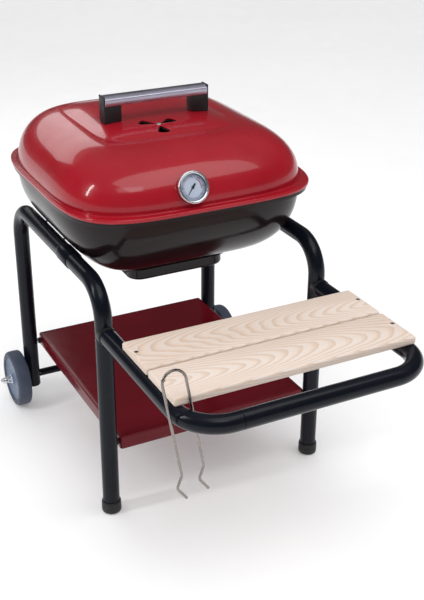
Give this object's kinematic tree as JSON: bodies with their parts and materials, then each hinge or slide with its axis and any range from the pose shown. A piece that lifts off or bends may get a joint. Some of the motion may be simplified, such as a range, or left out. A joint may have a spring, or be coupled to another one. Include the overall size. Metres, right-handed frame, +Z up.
{
  "type": "charcoal grill",
  "caption": "Square lidded charcoal grill on a tube frame with wheels, a lower tray, an ash pan, a lid thermometer and vent, and a wooden front shelf.",
  "frame": {"origin": "on the floor, under the middle of the whole object's bounding box", "axes": "+Z up, +X to the right seen from the front, -Y towards the front shelf, +Y towards the wheels"},
  "size_m": [0.698, 1.064, 0.8684],
  "materials": {
    "red_enamel": "gloss",
    "dark_red_paint": "satin",
    "black_enamel": "gloss",
    "black_tube_paint": "gloss",
    "black_plastic": "matte",
    "wheel_plastic": "matte",
    "pine": "oiled",
    "handle_aluminium": "satin anodised",
    "chrome_plate": "polished",
    "zinc_steel": "zinc plated",
    "dial_card": "matte",
    "needle_paint": "matte",
    "lens": "clear"
  },
  "bodies": {
    "frame": {"ash_pan_rail_left": "black_enamel", "ash_pan_rail_right": "black_enamel", "axle_rod": "zinc_steel", "axle_spacer_tube": "black_tube_paint", "bowl_bolt_front_left": "zinc_steel", "bowl_bolt_front_right": "zinc_steel", "bowl_bolt_rear_left": "zinc_steel", "bowl_bolt_rear_right": "zinc_steel", "bowl_shell": "black_enamel", "charcoal_grate": "zinc_steel", "cooking_grate": "zinc_steel", "front_foot_left": "black_plastic", "front_foot_right": "black_plastic", "front_leg_left": "black_tube_paint", "front_leg_right": "black_tube_paint", "loop_bolt_left": "zinc_steel", "loop_bolt_right": "zinc_steel", "loop_saddle_left": "black_plastic", "loop_saddle_right": "black_plastic", "lower_tray": "dark_red_paint", "plank_front": "pine", "plank_rear": "pine", "plank_screw_front_left": "zinc_steel", "plank_screw_front_right": "zinc_steel", "plank_screw_rear_left": "zinc_steel", "plank_screw_rear_right": "zinc_steel", "rear_leg_left": "black_tube_paint", "rear_leg_right": "black_tube_paint", "rear_plug_left": "black_plastic", "rear_plug_right": "black_plastic", "shelf_loop_left": "black_tube_paint", "shelf_loop_right": "black_tube_paint", "tray_bolt_front_left": "zinc_steel", "tray_bolt_front_right": "zinc_steel", "tray_bolt_rear_left": "zinc_steel", "tray_bolt_rear_right": "zinc_steel", "tray_spacer_front_left": "black_plastic", "tray_spacer_front_right": "black_plastic", "tray_spacer_rear_left": "black_plastic", "tray_spacer_rear_right": "black_plastic", "wheel_cap_nut_left": "chrome_plate", "wheel_cap_nut_right": "chrome_plate"},
    "lid": {"lid_shell": "red_enamel", "vent_rivet": "zinc_steel", "handle_bar": "handle_aluminium", "handle_block_left": "black_plastic", "handle_block_right": "black_plastic", "handle_screw_left": "zinc_steel", "handle_screw_right": "zinc_steel", "thermometer_case": "chrome_plate", "thermometer_dial": "dial_card", "thermometer_lens": "lens", "thermometer_probe": "zinc_steel", "thermometer_nut": "zinc_steel"},
    "vent_damper": {"vent_damper": "zinc_steel"},
    "needle": {"thermometer_needle": "needle_paint"},
    "ash_pan": {"ash_pan": "black_enamel"},
    "wheel_left": {"wheel_left": "wheel_plastic"},
    "wheel_right": {"wheel_right": "wheel_plastic"},
    "grate_lifter": {"grate_lifter": "zinc_steel"}
  },
  "joints": [
    {"name": "lid_lift", "type": "slide", "parent": "frame", "child": "lid", "axis": [0, 0, 1], "range_m": [0, 0.25]},
    {"name": "vent_turn", "type": "hinge", "parent": "lid", "child": "vent_damper", "pos_m": [-0.016, 0.157, 0.8086], "axis": [0, -0.0785, 0.9969], "range_deg": [0, 60]},
    {"name": "needle_turn", "type": "hinge", "parent": "lid", "child": "needle", "pos_m": [-0.0405, -0.0621, 0.7348], "axis": [0, 0.9136, -0.4067], "range_deg": [0, 264], "stiffness_Nm_per_rad": 0.001},
    {"name": "ash_pan_slide", "type": "slide", "parent": "frame", "child": "ash_pan", "axis": [0, -1, 0], "range_m": [0, 0.2]},
    {"name": "wheel_spin_left", "type": "hinge", "parent": "frame", "child": "wheel_left", "pos_m": [-0.2615, 0.459, 0.073], "axis": [1, 0, 0], "continuous": true},
    {"name": "wheel_spin_right", "type": "hinge", "parent": "frame", "child": "wheel_right", "pos_m": [0.2615, 0.459, 0.073], "axis": [1, 0, 0], "continuous": true},
    {"name": "lifter_lift", "type": "slide", "parent": "frame", "child": "grate_lifter", "axis": [-0.1772, 0, 0.9842], "range_m": [0, 0.08]}
  ]
}
